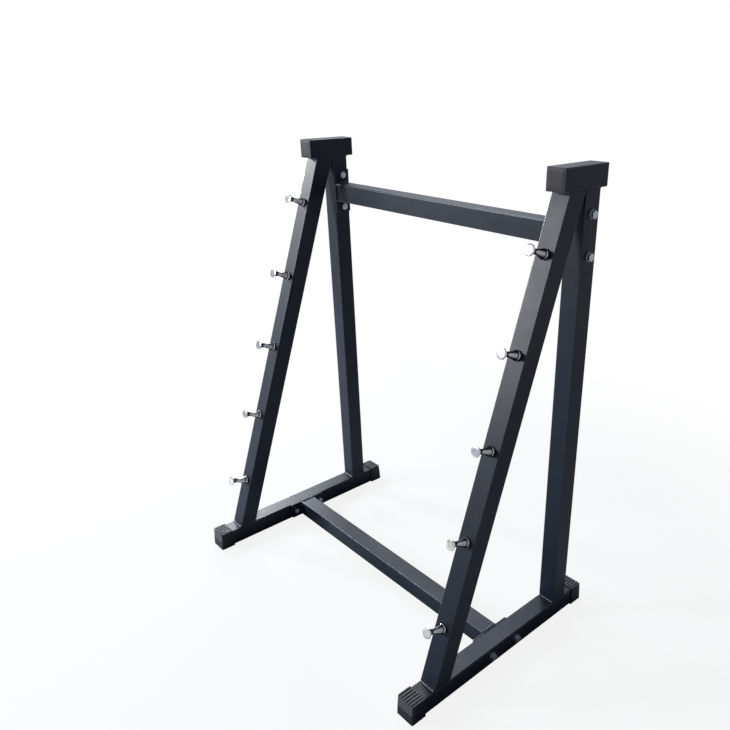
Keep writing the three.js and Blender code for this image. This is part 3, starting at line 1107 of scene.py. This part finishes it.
def foot_cap(settings, tube):
    """A ribbed sleeve. y = 0 is the tube's end, -Y points outwards and z = 0 is the floor."""
    half = tube.size / 2 + settings.wall
    height = settings.floor + tube.size + settings.wall
    low_top = height - settings.groove
    end_wall, clearance, hair = 2.5 * MM, 0.3 * MM, 0.1 * MM
    front = -(settings.setback + end_wall)
    # The end's face leans back within the first of these, and its corners are round within the
    # second.
    face_zone, corner_zone = front + 6 * MM, front + 14 * MM
    crease = height * settings.crease
    slope = (settings.setback - settings.crease_setback) / (height - crease)
    cap = block((-half, half), (front, settings.grip), (0, low_top))

    def at(value, target):
        return abs(value - target) < hair / 2

    bpy.ops.object.mode_set(mode="EDIT")
    bpy.ops.mesh.select_all(action="SELECT")
    bpy.ops.mesh.bisect(plane_co=(0, 0, crease), plane_no=(0, 0, 1))
    choose("VERT", lambda v: at(v.co.y, front) and at(v.co.z, crease))
    bpy.ops.transform.translate(value=(0, settings.crease_setback, 0))
    choose("VERT", lambda v: at(v.co.y, front) and at(v.co.z, low_top))
    low_setback = settings.crease_setback + slope * (low_top - crease)
    bpy.ops.transform.translate(value=(0, low_setback, 0))

    # Upright corners of the end
    def end_corner(edge):
        at_corner = all(abs(v.x) > half - hair and v.y < face_zone for v in ends(edge))
        return at_corner and run(edge, "z") > 5 * MM

    round_edges(end_corner, settings.corner, segments=4)

    # Ribs are raised between the six grooves, and lean in a little at their sides.
    grooves = [settings.pitch * (i - 2.5) for i in range(6)]
    half_groove = settings.groove_floor / 2
    rib_sides = [(groove + side * half_groove, side) for groove in grooves for side in (-1, 1)]
    for x, side in rib_sides:
        bpy.ops.mesh.select_all(action="SELECT")
        bpy.ops.mesh.bisect(plane_co=(x, 0, 0), plane_no=(1, 0, 0))

    def on_rib(face):
        middle = face.calc_center_median()
        clear = all(abs(middle.x - groove) > half_groove for groove in grooves)
        return face.normal.z > ALONG and at(middle.z, low_top) and clear

    choose("FACE", on_rib)
    bpy.ops.mesh.extrude_region_move(TRANSFORM_OT_translate={"value": (0, 0, settings.groove)})
    lean_in = (settings.groove_top - settings.groove_floor) / 2
    for x, side in rib_sides:
        choose("VERT", lambda v: at(v.co.z, height) and at(v.co.x, x))
        bpy.ops.transform.translate(value=(side * lean_in, 0, 0))
    middle_front = front + low_setback
    choose("VERT", lambda v: at(v.co.z, height) and v.co.y < middle_front + 2.5 * MM)
    bpy.ops.transform.translate(value=(0, slope * settings.groove, 0))

    # Long top edges, which run on round the end's corners
    def top_edge(edge):
        corners = ends(edge)
        outer = all(at(v.z, height) and abs(v.x) > half - settings.corner - hair for v in corners)
        along_side = all(at(abs(v.x), half) for v in corners)
        round_end = all(v.y < corner_zone for v in corners)
        beside_wall = any(len(f.verts) == 4 and abs(f.normal.z) < 0.5 for f in edge.link_faces)
        return outer and (along_side or round_end) and beside_wall

    round_edges(top_edge, 2.4 * MM, segments=3)
    close_mesh()

    # The pocket that the tube goes into
    inner = tube.size / 2 + clearance
    pocket = block(
        (-inner, inner),
        (-clearance, settings.grip + 5 * MM),
        (settings.floor - clearance, settings.floor + tube.size + clearance),
    )
    bpy.ops.object.mode_set(mode="EDIT")
    round_edges(lambda edge: run(edge, "y") > settings.grip / 2, tube.corner, segments=4)
    bpy.ops.object.mode_set(mode="OBJECT")
    cut_away(cap, pocket)
    apply_modifier(
        cap,
        "BEVEL",
        width=0.45 * MM,
        segments=2,
        limit_method="ANGLE",
        angle_limit=math.radians(35),
        use_clamp_overlap=True,
    )
    smooth(cap, angle=40)

    # Painted light: rib tops fully and the upper half of the end at 0.8, drawn lighter for the
    # light on them.
    def painted_light(face):
        rib = face.normal.z > ALONG and face.center.z > height - 0.5 * MM
        return rib or 0.8 * (face.normal.y < -ALONG and face.center.z > crease)

    return mark_faces(cap, "painted_light", painted_light)


class RACK_OT_foot_caps(bpy.types.Operator):
    """Models the four ribbed caps on the foot tubes"""

    bl_idname = "rack.foot_caps"
    bl_label = "Foot Caps"

    def execute(self, context):
        tubes, settings = context.scene.rack_tubes, context.scene.rack_caps
        cap = foot_cap(settings, tubes)
        for side in SIDES:
            low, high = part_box(f"foot_tube_{side}")
            x = middle_of(f"foot_tube_{side}").x
            for end, y, facing in (("front", low.y, 0), ("rear", high.y, 2 * QUARTER)):
                piece = copy_at(cap, moved_to(x, y, 0) @ turned_about("Z", facing))
                finish(piece, "moulded", f"foot_cap_{side}_{end}")
        discard(cap)
        return {"FINISHED"}


def top_plug(tube):
    """A push-in plug. z = 0 is the tube's end and +Z points outwards."""
    half = tube.size / 2
    flange = 2.5 * MM
    plug = block((-half, half), (-half, half), (0, flange))
    bpy.ops.object.mode_set(mode="EDIT")
    round_edges(lambda edge: run(edge, "z") > flange / 2, tube.corner, segments=6)

    def step(share, rise):
        """Extrudes the chosen face by rise and draws it in to a share of its size."""
        bpy.ops.mesh.extrude_region_move(TRANSFORM_OT_translate={"value": (0, 0, rise * MM)})
        bpy.ops.transform.resize(value=(share, share, 1), center_override=(0, 0, 0))

    # The raised, slightly crowned panel inside the rim
    choose("FACE", lambda face: face.normal.z > ALONG)
    rim, panel_side = ((0.84, 0),), ((0.975, 0.3), (0.975, 0.15))
    crown = ((0.85, 0.17), (0.7, 0.11), (0.4, 0.05))
    for share, rise in (*rim, *panel_side, *crown):
        step(share, rise)

    # The hollow spigot that is pressed into the tube
    choose("FACE", lambda face: face.normal.z < -ALONG)
    spigot = 1 - (tube.wall + 0.3 * MM) / half
    hollow = 1 - 2.2 * MM / (half * spigot)
    for share, rise in ((spigot, 0), (1, -14), (hollow, 0), (1, 14)):
        step(share, rise)

    # The rounded rim
    def rim_edge(edge):
        outer = all(
            abs(v.z - flange) < 0.01 * MM and max(abs(v.x), abs(v.y)) > half - tube.corner
            for v in ends(edge)
        )
        return outer and any(abs(f.normal.z) < 0.5 for f in edge.link_faces)

    round_edges(rim_edge, 0.9 * MM, segments=3)
    bpy.ops.object.mode_set(mode="OBJECT")
    return smooth(plug, angle=40)


class RACK_OT_top_plugs(bpy.types.Operator):
    """Models the four plugs in the ends of the top tubes"""

    bl_idname = "rack.top_plugs"
    bl_label = "Top Plugs"

    def execute(self, context):
        plug = top_plug(context.scene.rack_tubes)
        for side in SIDES:
            low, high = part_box(f"top_tube_{side}")
            middle = (low + high) / 2
            for end, y, facing in (("front", low.y, QUARTER), ("rear", high.y, -QUARTER)):
                place = moved_to(middle.x, y, middle.z) @ turned_about("X", facing)
                piece = copy_at(plug, place)
                finish(piece, "moulded", f"top_plug_{side}_{end}")
        discard(plug)
        return {"FINISHED"}


# Studio

# The camera that was fitted to the photograph: metres, degrees, millimetres and shares
CAMERA_PLACE = (1.36555, -1.05933, 1.36924)
CAMERA_ANGLES = (46.746, 24.738, -0.153)
CAMERA_LENS = 34.561
CAMERA_SHIFT = (-0.1031, 0.0431)
LAMP_AIM = Vector((0, 0, 0.6))


def area_lamp(name, place, size, power, light):
    """Adds a square lamp that shines on the middle of the rack."""
    data = bpy.data.lights.new(name, "AREA")
    data.shape = "SQUARE"
    data.size, data.energy = size, power
    data.color = light
    lamp = bpy.data.objects.new(name, data)
    bpy.context.scene.collection.objects.link(lamp)
    lamp.location = place
    view = LAMP_AIM - Vector(place)
    lamp.rotation_euler = view.to_track_quat("-Z", "Y").to_euler()


class RACK_OT_studio(bpy.types.Operator):
    """Sets the pale floor, the soft lamps, the white backdrop and the camera"""

    bl_idname = "rack.studio"
    bl_label = "Studio"

    def execute(self, context):
        scene, studio = context.scene, context.scene.rack_studio
        select_nothing()
        bpy.ops.mesh.primitive_plane_add(size=14, location=(0, 0, 0))
        floor = context.object
        floor.name = "studio_floor"
        floor.data.materials.append(floor_paint(studio.floor, studio.mirrored))

        world = bpy.data.worlds.new("white_backdrop")
        world.use_nodes = True
        tree = world.node_tree
        tree.nodes.clear()
        shown = studio_white(tree, 1.0 - studio.ambient, studio.mirrored - studio.ambient)
        strength = add_node(
            tree, "ShaderNodeMath", {"operation": "ADD"}, i0=shown, i1=studio.ambient
        )
        tint = add_node(
            tree,
            "ShaderNodeMix",
            COLOUR_MIX,
            i0=add_node(tree, "ShaderNodeLightPath").outputs["Is Camera Ray"],
            i6=shade(studio.sky),
            i7=(1, 1, 1, 1),
        )
        white = add_node(tree, "ShaderNodeBackground", Color=tint.outputs[2], Strength=strength)
        add_node(tree, "ShaderNodeOutputWorld", Surface=white)
        scene.world = world

        area_lamp("front_lamp", (-2.66, -3.17, 2.10), 1.0, studio.front, studio.warm)
        area_lamp("side_lamp", (-2.68, -0.50, 1.80), 0.3, studio.side, studio.warm)
        area_lamp("low_lamp", (-2.83, 0.83, 1.14), 0.6, studio.low, studio.cool)
        area_lamp("rear_lamp", (-2.67, 2.70, 4.40), 1.8, studio.rear, studio.cool)

        data = bpy.data.cameras.new("camera")
        data.sensor_width, data.lens = 36.0, CAMERA_LENS
        data.shift_x, data.shift_y = CAMERA_SHIFT
        camera = bpy.data.objects.new("camera", data)
        scene.collection.objects.link(camera)
        azimuth, elevation, roll = map(math.radians, CAMERA_ANGLES)
        aimed = turned_about("Z", azimuth) @ turned_about("X", QUARTER - elevation)
        camera.rotation_euler = (aimed @ turned_about("Z", roll)).to_euler()
        camera.location = CAMERA_PLACE
        scene.camera = camera
        scene.view_settings.view_transform = "Standard"
        return {"FINISHED"}


class RACK_PT_panel(bpy.types.Panel):
    bl_label = "Barbell Storage Rack"
    bl_idname = "RACK_PT_panel"
    bl_space_type = "VIEW_3D"
    bl_region_type = "UI"
    bl_category = "Rack"

    def draw(self, context):
        for group in GROUPS:
            box = self.layout.box()
            settings = getattr(context.scene, group)
            for name in settings.__annotations__:
                box.prop(settings, name)
        for operator in OPERATORS:
            self.layout.operator(operator.bl_idname)


GROUPS = {
    "rack_tubes": RackTubeSettings,
    "rack_pegs": RackPegSettings,
    "rack_caps": RackCapSettings,
    "rack_fasteners": RackFastenerSettings,
    "rack_studio": RackStudioSettings,
}
OPERATORS = (
    RACK_OT_foot_tubes,
    RACK_OT_front_posts,
    RACK_OT_rear_uprights,
    RACK_OT_top_tubes,
    RACK_OT_crossbars,
    RACK_OT_end_plates,
    RACK_OT_pegs,
    RACK_OT_fasteners,
    RACK_OT_foot_caps,
    RACK_OT_top_plugs,
    RACK_OT_studio,
)


def register():
    for group in (*GROUPS.values(), *OPERATORS, RACK_PT_panel):
        bpy.utils.register_class(group)
    for name, group in GROUPS.items():
        setattr(bpy.types.Scene, name, bpy.props.PointerProperty(type=group))


def unregister():
    for name in GROUPS:
        delattr(bpy.types.Scene, name)
    for group in reversed((*GROUPS.values(), *OPERATORS, RACK_PT_panel)):
        bpy.utils.unregister_class(group)


def main():
    register()
    bpy.ops.rack.foot_tubes()
    bpy.ops.rack.front_posts()
    bpy.ops.rack.rear_uprights()
    bpy.ops.rack.top_tubes()
    bpy.ops.rack.crossbars()
    bpy.ops.rack.end_plates()
    bpy.ops.rack.pegs()
    bpy.ops.rack.fasteners()
    bpy.ops.rack.foot_caps()
    bpy.ops.rack.top_plugs()
    bpy.ops.rack.studio()


if __name__ == "__main__":
    main()
